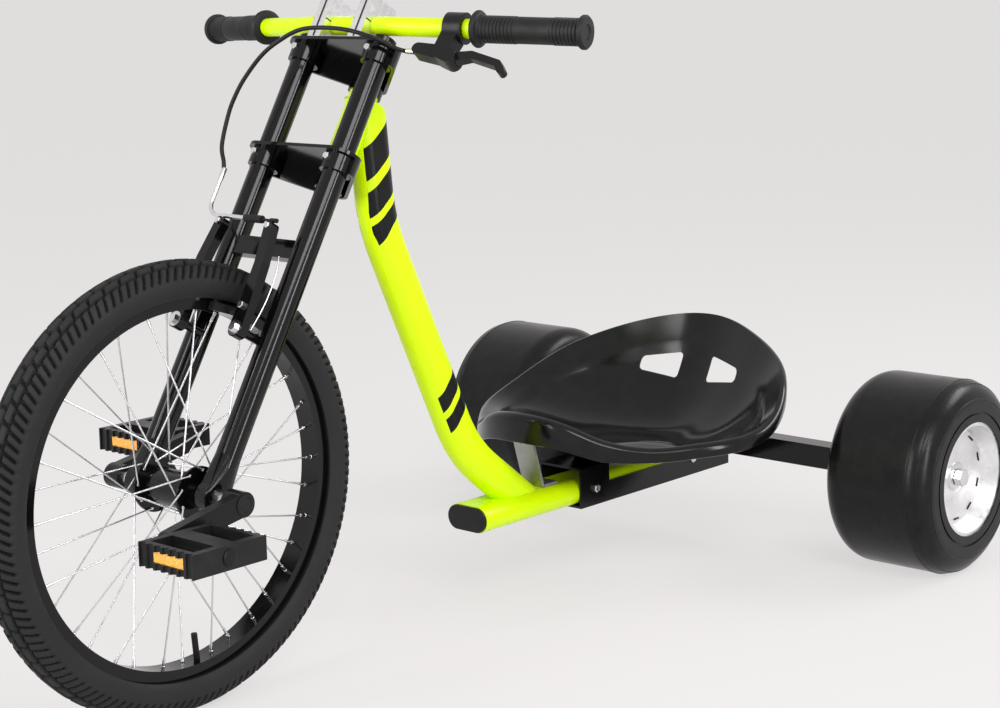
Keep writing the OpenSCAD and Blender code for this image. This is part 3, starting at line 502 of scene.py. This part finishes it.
BEND_Y = BAR_MID + BAR_BEND * math.tan(BAR_SWEEP / 2)
BAR_RUN = (BAR_HALF - BEND_Y) / math.cos(BAR_SWEEP) - BAR_BEND * math.tan(BAR_SWEEP / 2)
GRIP_LEN = 138


def grip_profile():
    """Flange, ribbed barrel with a plain panel, and end cap, from the inner end outwards."""
    rows = [(0, 11.3), (0, 17), (1, 19.5), (3, 21), (5, 21), (7, 19.5), (8, 16.5)]
    rib, d = 4.6, 11.0
    while d < GRIP_LEN - 12:
        plain = 52 < d < 96
        peak = 15.0 if plain else 15.5
        rows += [(d, 14.5 if not plain else 15.0), (d + 0.6, peak), (d + rib - 1.4, peak),
                 (d + rib - 0.8, 14.5 if not plain else 15.0)]
        d += rib
    rows += [(GRIP_LEN - 7, 15), (GRIP_LEN - 6.5, 18), (GRIP_LEN - 5, 19), (GRIP_LEN - 2, 19), (GRIP_LEN, 17),
             (GRIP_LEN, 9), (GRIP_LEN - 1.5, 8)]
    return [(d * MM, r * MM) for d, r in rows]


for side, name in ((1, "left"), (-1, "right")):
    inner = bar_end(side, BAR_RUN - GRIP_LEN)
    out = bar_end(side, BAR_RUN) - inner
    verts, faces = revolved(grip_profile(), inner, out, 48)
    piece(f"grip_{name}_ribbed", verts, faces, grip_rubber, "steering", "black_rubber", [f"grip_{name}"], 30)

CABLE_HIGH = [(-4, 108.5, -28), (-1, 98, -29), (8, 90, -30), (26, 78, -29), (44, 50, -28), (56, 20, -31),
              (62, -11, -37), (66, -33, -53), (68, -51, -73), (68, -65, -103), (66, -72, -127)]
CABLE_LOW = [(62, -76, 71), (54, -77, 37), (45, -74, 20), (42, -72, 9), (42, -72, 0)]
NOODLE_TOP = 352.8
route = [fork(x, y, z + BAR_Z) for x, y, z in CABLE_HIGH] + [fork(x, y, z + NOODLE_TOP) for x, y, z in CABLE_LOW]
piece("brake_cable_round", *swept(curve_through(route), 2.5 * MM, 16), satin, "steering", "black_rubber",
      ["brake_cable"], 60)
ferrules = [revolved([(0, 3.2 * MM), (14 * MM, 3.2 * MM), (15 * MM, 2.8 * MM)], fork(42, -72, NOODLE_TOP - 1),
                     FORK_UP, 24),
            revolved([(0, 3.4 * MM), (9 * MM, 3.4 * MM)], route[0], route[1] - route[0], 20)]
piece("cable_ferrules", *joined(ferrules), steel, "steering", "plated_steel")

PIVOT_X, PIVOT_Y, PIVOT_Z = 48, 50, 178.7
ARM_TOP = (42, 41, 300)
bolts, springs, washers = [], [], []
for s in (1, -1):
    bolts.append(bolt(fork(PIVOT_X, s * PIVOT_Y, PIVOT_Z), FORK_AHEAD, 6, 5))
    washers.append(revolved([(-1 * MM, 9 * MM), (1 * MM, 9 * MM)], fork(PIVOT_X, s * PIVOT_Y, PIVOT_Z), FORK_AHEAD, 24))
    bolts.append(bolt(fork(ARM_TOP[0] + 6, s * ARM_TOP[1], ARM_TOP[2]), FORK_AHEAD, 4, 3.5))
    bolts.append(bolt(fork(48, s * 49, 205), FORK_AHEAD, 4.5, 5))
    path = [fork(34, s * 60, PIVOT_Z + 4), fork(30, s * 62, 215), fork(29, s * 61, 250), fork(30, s * 56, 272)]
    springs.append(swept(curve_through(path), 0.9 * MM, 10))
piece("brake_bolts", *joined(bolts), steel, "steering", "plated_steel", sharp=25)
piece("brake_washers", *joined(washers), steel, "steering", "plated_steel", sharp=25)
piece("brake_springs", *joined(springs), steel, "steering", "plated_steel", sharp=60)

CLAMP_Y, CLAMP_HALF_W, CLAMP_HALF_D, CLAMP_LOW, CLAMP_TOP = 33, 10, 20, 549, 602
slits, clamp_bolts = [], []
for s in (1, -1):
    for x in (-12, 12):
        clamp_bolts.append(bolt(fork(BAR_X + x, s * CLAMP_Y, CLAMP_TOP), FORK_UP, 3.5, 2.5, 16))
    for x in (CLAMP_HALF_D, -CLAMP_HALF_D):
        slits.append(swept([fork(BAR_X + x, s * CLAMP_Y, z) for z in (CLAMP_LOW, CLAMP_TOP)], 1.1 * MM, 8))
    for y in (CLAMP_Y - CLAMP_HALF_W, CLAMP_Y + CLAMP_HALF_W):
        for x in (1, -1):
            slits.append(swept([fork(BAR_X + x * d, s * y, BAR_Z) for d in (11.5, CLAMP_HALF_D)], 0.8 * MM, 8))
piece("clamp_bolts", *joined(clamp_bolts), steel, "steering", "plated_steel", sharp=25)
piece("clamp_slits", *joined(slits), satin, "steering", "black_alloy")

LEG_Y, LEG_TOP, STEER_BACK = 60, 556, -53.6
caps = [revolved([(0, 12 * MM), (1.5 * MM, 12 * MM), (2.5 * MM, 10 * MM)], fork(0, s * LEG_Y, LEG_TOP), FORK_UP, 32)
        for s in (1, -1)]
piece("leg_caps", *joined(caps), resin, "steering", "black_resin", sharp=30)
pinches = [bolt(fork(14.3 + 4.2, s * LEG_Y, z), FORK_AHEAD, 4.5, 5) for s in (1, -1) for z in (536, 400)]
piece("crown_bolts", *joined(pinches), steel, "steering", "plated_steel", sharp=25)

# Cranks and pedals

BOSS_OUT = 0.112
caps = []
for s in (1, -1):
    caps.append(revolved([(0, 0.0115), (0.001, 0.0115), (0.001, 0.009), (0.0002, 0.0085)], AXLE + LEFT * s * BOSS_OUT,
                         LEFT * s, 32))
piece("crank_caps", *joined(caps), resin, "crank", "black_resin", sharp=30)
PEDAL_HALF_W = 0.042
for name, s in (("left", 1), ("right", -1)):
    centre = place[f"pedal_{name}_spin"] + LEFT * s * PEDAL_HALF_W
    cap = revolved([(0, 0.0095), (0.0012, 0.0095), (0.0018, 0.008)], centre, LEFT * s, 32)
    piece(f"pedal_cap_{name}", *cap, satin, f"pedal_{name}", "black_resin", sharp=30)

# Seat: the same moulded form as the CAD shell, finer, with its rim rolled round and its vents cut

SEAT_SHARES = [(0, 1.06, 0.495, 0.10, 0.22), (15, 1.035, 0.445, 0.12, 0.20), (30, 0.985, 0.298, 0.15, 0.15),
               (45, 0.95, 0.229, 0.17, 0.10), (60, 0.96, 0.231, 0.15, 0.09), (90, 1.063, 0.319, 0.04, 0.09),
               (120, 1.002, 0.668, 0, 0.10), (150, 0.90, 0.899, 0, 0.12), (180, 0.911, 0.988, 0, 0.12)]
SEAT_REACH, SEAT_RISE, SEAT_FLOOR, SEAT_WALL, SEAT_LIP = 0.210, 0.155, 0.160, 0.004, 0.009
SEAT_X = place["rear_left_spin"].x + 0.208
FLOOR_SHARE, SEAT_CURVE = 0.3, 2.3
RIM_STEP, RIM_START, RIM_SOFT = 0.0045, 0.885, 0.035


def seat_share(turn, c):
    a = turn if turn <= 180 else 360 - turn
    last = len(SEAT_SHARES) - 1
    i = next(i for i in range(last) if a < SEAT_SHARES[i + 1][0] or i == last - 1)
    p, q = SEAT_SHARES[i], SEAT_SHARES[i + 1]

    def slope(i):
        if i in (0, last):
            return 0
        before, after = SEAT_SHARES[i - 1], SEAT_SHARES[i + 1]
        return (after[c] - before[c]) / (after[0] - before[0])

    h = q[0] - p[0]
    u = (a - p[0]) / h
    return (p[c] * (1 + 2 * u) * (1 - u) ** 2 + h * slope(i) * u * (1 - u) ** 2
            + q[c] * u * u * (3 - 2 * u) + h * slope(i + 1) * u * u * (u - 1))


def seat_height(t, turn):
    v = max(0, t - FLOOR_SHARE) / (1 - FLOOR_SHARE)
    return SEAT_RISE * (seat_share(turn, 2) * v ** SEAT_CURVE + seat_share(turn, 3) * math.sin(math.pi * v) ** 2)


def rim_band(t):
    """Height of the flat band inside the rim, which stands a step above the bowl."""
    return RIM_STEP * float(soft_step(t, RIM_START, RIM_SOFT))


def seat_section(turn):
    """Outline of the shell from its middle out over the rim and back underneath."""
    r = SEAT_REACH * seat_share(turn, 1)
    top = seat_height(1, turn)
    low = top - SEAT_RISE * seat_share(turn, 4)
    out = r + SEAT_LIP
    shares = [0.06 + 0.94 * k / 48 for k in range(49)]
    upper = [(r * t, seat_height(t, turn) + rim_band(t)) for t in shares]
    roll = [(r + SEAT_LIP * math.cos(a), top + RIM_STEP - SEAT_LIP + SEAT_LIP * math.sin(a))
            for a in (math.radians(d) for d in (75, 60, 45, 30, 15, 0))]
    half = SEAT_WALL / 2
    hem = [(out, low + half), (out - half * 0.3, low + half * 0.3), (out - half, low), (out - 1.7 * half, low + half * 0.3),
           (out - 2 * half, low + half), (out - 2 * half, top - SEAT_LIP)]
    under = [(r * t, seat_height(t, turn) - SEAT_WALL) for t in reversed(shares)]
    return upper + roll + hem + under


VENT_Y, VENT_Z, VENT_HALF_W = 0.055, 0.084, 0.030
VENT_IN_H, VENT_OUT_H, VENT_CORNER = 0.018, 0.009, 0.006


def vent_cutter(side):
    b = bmesh.new()
    outline = [(-VENT_HALF_W, -VENT_IN_H), (VENT_HALF_W, -VENT_OUT_H), (VENT_HALF_W, VENT_OUT_H), (-VENT_HALF_W, VENT_IN_H)]
    base = [b.verts.new((SEAT_X - 2 * SEAT_REACH, side * (VENT_Y + y), SEAT_FLOOR + VENT_Z + z)) for y, z in outline]
    face = b.faces.new(base)
    grown = bmesh.ops.extrude_face_region(b, geom=[face])
    moved = [g for g in grown["geom"] if isinstance(g, bmesh.types.BMVert)]
    bmesh.ops.translate(b, verts=moved, vec=(2 * SEAT_REACH, 0, 0))
    long_edges = [e for e in b.edges if abs(e.verts[0].co.x - e.verts[1].co.x) > SEAT_REACH]
    bmesh.ops.bevel(b, geom=long_edges, offset=VENT_CORNER, segments=5, profile=0.5, affect="EDGES")
    bmesh.ops.recalc_face_normals(b, faces=b.faces)
    mesh = bpy.data.meshes.new("vent_cutter")
    b.to_mesh(mesh)
    b.free()
    obj = bpy.data.objects.new("vent_cutter", mesh)
    bpy.context.scene.collection.objects.link(obj)
    return obj


def seat():
    turns = 144
    sections = [seat_section(360 * k / turns) for k in range(turns)]
    m = len(sections[0])
    verts, faces = [], []
    for k, section in enumerate(sections):
        a = 2 * math.pi * k / turns
        verts += [(SEAT_X + r * math.cos(a), r * math.sin(a), SEAT_FLOOR + z) for r, z in section]
    for k in range(turns):
        j = (k + 1) % turns
        faces += [(k * m + i, k * m + i + 1, j * m + i + 1, j * m + i) for i in range(m - 1)]
    faces.append(tuple(k * m for k in range(turns)))
    faces.append(tuple(k * m + m - 1 for k in reversed(range(turns))))
    mesh = bpy.data.meshes.new("seat_raw")
    mesh.from_pydata(verts, [], faces)
    b = bmesh.new()
    b.from_mesh(mesh)
    bmesh.ops.recalc_face_normals(b, faces=b.faces)
    b.to_mesh(mesh)
    b.free()
    raw = bpy.data.objects.new("seat_raw", mesh)
    bpy.context.scene.collection.objects.link(raw)
    cutters = [vent_cutter(s) for s in (1, -1)]
    for c in cutters:
        cut = raw.modifiers.new("vent", "BOOLEAN")
        cut.operation = "DIFFERENCE"
        cut.solver = "EXACT"
        cut.object = c
    bpy.context.view_layer.update()
    cut_mesh = bpy.data.meshes.new_from_object(raw.evaluated_get(bpy.context.evaluated_depsgraph_get()))
    for o in [raw] + cutters:
        bpy.data.objects.remove(o)
    cut_mesh.materials.clear()
    cut_mesh.name = "seat_moulding"
    finish_piece("seat_moulding", cut_mesh, seat_plastic, "frame", ["seat_shell"], 35)


seat()

# A tab bent back from the top of the strap carries the seat's nose
TAB_SIDE = [(-0.1332, 0.2095), (-0.1332, 0.2135), (-0.1372, 0.2142), (-0.1580, 0.2112), (-0.1580, 0.2082), (-0.1372, 0.2105)]
TAB_HALF_W = 0.017
tab_verts = [(x, y, z) for y in (-TAB_HALF_W, TAB_HALF_W) for x, z in TAB_SIDE]
n = len(TAB_SIDE)
tab_faces = [tuple(range(n)), tuple(range(n, 2 * n))] + [(k, (k + 1) % n, n + (k + 1) % n, n + k) for k in range(n)]
piece("strap_tab", tab_verts, tab_faces, bare_steel, "frame", "bare_steel", sharp=25)

# Frame fastenings and rear wheels

RAIL_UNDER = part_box("rear_cradle")[0].z
cradle_low, cradle_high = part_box("rear_cradle")
under = [bolt(Vector((x, y, RAIL_UNDER)), Vector((0, 0, -1)), 6, 5)
         for x in (cradle_high.x - 0.02, cradle_high.x - 0.13, cradle_low.x + 0.1) for y in (-0.02, 0.02)]
side_bolts = [bolt(Vector((x, s * cradle_high.y, 0.125)), Vector((0, s, 0)), 6, 5)
              for x in (cradle_high.x - 0.03, cradle_low.x + 0.09) for s in (1, -1)]
piece("cradle_bolts", *joined(under + side_bolts), steel, "frame", "plated_steel", sharp=25)

# Moulded ridges on the drums' outer shoulders, as turns from the axle's direction
SHOULDER_R, SHOULDER_Y, SHOULDER_EDGE = 0.102, 0.393, 0.030
RIDGE_TURNS, RIDGE_R, RIDGE_SINK = (12, 58, 84), 0.0011, 0.0004
for name, s in (("left", 1), ("right", -1)):
    hub = Vector((place[f"rear_{name}_spin"].x, 0, place[f"rear_{name}_spin"].z))
    ridges = []
    for turn in RIDGE_TURNS:
        a = math.radians(turn)
        r = SHOULDER_R + (SHOULDER_EDGE - RIDGE_SINK) * math.sin(a)
        y = SHOULDER_Y + (SHOULDER_EDGE - RIDGE_SINK) * math.cos(a)
        ridges.append(ring(hub + LEFT * s * y, LEFT, r, RIDGE_R))
    piece(f"drum_ridges_{name}", *joined(ridges), drum, f"rear_wheel_{name}", "drum_plastic", sharp=60)

DISC_FLOOR_Y, SLOT_R, SLOTS = 0.423 - 0.030 + 0.003, 0.058, 10
for name, s in (("left", 1), ("right", -1)):
    hub = Vector((place[f"rear_{name}_spin"].x, 0, place[f"rear_{name}_spin"].z))
    marks = []
    for k in range(SLOTS):
        a = 2 * math.pi * (k + 0.5) / SLOTS
        out = Vector((math.cos(a), 0, math.sin(a)))
        flat = LEFT.cross(out)
        base = hub + out * SLOT_R + LEFT * s * (DISC_FLOOR_Y + 0.0026)
        marks.append(swept([base - flat * 0.006, base + flat * 0.006], 0.0016, 10))
    piece(f"disc_slots_{name}", *joined(marks), satin, f"rear_wheel_{name}", "black_alloy")
    washer = revolved([(0, 0.020), (0.0024, 0.020), (0.0032, 0.018), (0.0032, 0.0125)],
                    hub + LEFT * s * (DISC_FLOOR_Y - 0.0002), LEFT * s, 40)
    piece(f"disc_washer_{name}", *washer, steel, f"rear_wheel_{name}", "plated_steel", sharp=25)

# Stage, light and camera

PALE = (0.84, 0.815, 0.815)
GLOW_SHARE = 0.75


def seen_ray(nodes, link):
    """1 on rays that show a surface as it is: from the camera, in a gloss and through glass."""
    path = nodes.new("ShaderNodeLightPath")
    total = path.outputs["Is Camera Ray"]
    for name in ("Is Glossy Ray", "Is Transmission Ray"):
        top = nodes.new("ShaderNodeMath")
        top.operation = "MAXIMUM"
        link(total, top.inputs[0])
        link(path.outputs[name], top.inputs[1])
        total = top.outputs[0]
    return total


def pale_floor():
    mat = bpy.data.materials.new("pale_floor")
    mat.use_nodes = True
    nodes, link = mat.node_tree.nodes, mat.node_tree.links.new
    nodes.clear()
    out = nodes.new("ShaderNodeOutputMaterial")
    plain = nodes.new("ShaderNodeBsdfDiffuse")
    plain.inputs["Color"].default_value = (*PALE, 1)
    glow = nodes.new("ShaderNodeEmission")
    glow.inputs["Color"].default_value = (*PALE, 1)
    share = nodes.new("ShaderNodeMath")
    share.operation = "MULTIPLY"
    share.inputs[1].default_value = GLOW_SHARE
    mix = nodes.new("ShaderNodeMixShader")
    link(seen_ray(nodes, link), share.inputs[0])
    link(share.outputs[0], mix.inputs[0])
    link(plain.outputs[0], mix.inputs[1])
    link(glow.outputs[0], mix.inputs[2])
    link(mix.outputs[0], out.inputs["Surface"])
    return mat


FLOOR_HALF = 150
floor_mesh = bpy.data.meshes.new("floor")
floor_mesh.from_pydata([(-FLOOR_HALF, -FLOOR_HALF, 0), (FLOOR_HALF, -FLOOR_HALF, 0), (FLOOR_HALF, FLOOR_HALF, 0),
                        (-FLOOR_HALF, FLOOR_HALF, 0)], [], [(0, 1, 2, 3)])
floor_mesh.materials.append(pale_floor())
floor = bpy.data.objects.new("floor", floor_mesh)
bpy.context.scene.collection.objects.link(floor)

world = bpy.data.worlds.new("studio")
bpy.context.scene.world = world
world.use_nodes = True
wn, wl = world.node_tree.nodes, world.node_tree.links.new
wn.clear()
sky = wn.new("ShaderNodeBackground")
sky.inputs["Color"].default_value = (1, 1, 1, 1)
sky.inputs["Strength"].default_value = 0.55
seen = wn.new("ShaderNodeBackground")
seen.inputs["Color"].default_value = (*PALE, 1)
mix = wn.new("ShaderNodeMixShader")
wout = wn.new("ShaderNodeOutputWorld")
wl(seen_ray(wn, wl), mix.inputs[0])
wl(sky.outputs[0], mix.inputs[1])
wl(seen.outputs[0], mix.inputs[2])
wl(mix.outputs[0], wout.inputs["Surface"])


def softbox(name, at, aim, size, watts):
    lamp = bpy.data.lights.new(name, "AREA")
    lamp.shape = "RECTANGLE"
    lamp.size, lamp.size_y = size
    lamp.energy = watts
    obj = bpy.data.objects.new(name, lamp)
    obj.location = at
    obj.rotation_euler = (Vector(aim) - Vector(at)).to_track_quat("-Z", "Y").to_euler()
    bpy.context.scene.collection.objects.link(obj)


softbox("strip_left", (0.3, 3.0, 1.1), (0, 0, 0.35), (0.35, 2.2), 30)
softbox("strip_front", (3.2, 0.2, 1.2), (0.3, 0, 0.4), (0.3, 2.2), 24)
softbox("key", (1.6, 2.4, 2.6), (0, 0, 0.3), (1.6, 1.2), 45)
softbox("side", (2.6, -0.6, 1.2), (0.2, 0, 0.4), (0.5, 2.0), 25)
softbox("rear", (-2.2, 1.4, 2.0), (-0.2, 0, 0.3), (1.6, 0.8), 30)

CAMERA_AT = (1.8544, 1.7374, 0.8059)
CAMERA_TURN = (79.57, 0.905, 131.551)
CAMERA_LENS, SENSOR_W = 74.398, 36
camera = bpy.data.cameras.new("photo_camera")
camera.sensor_fit = "HORIZONTAL"
camera.sensor_width = SENSOR_W
camera.lens = CAMERA_LENS
eye = bpy.data.objects.new("photo_camera", camera)
eye.location = CAMERA_AT
eye.rotation_euler = [math.radians(a) for a in CAMERA_TURN]
bpy.context.scene.collection.objects.link(eye)
bpy.context.scene.camera = eye
bpy.context.scene.view_settings.view_transform = "Standard"
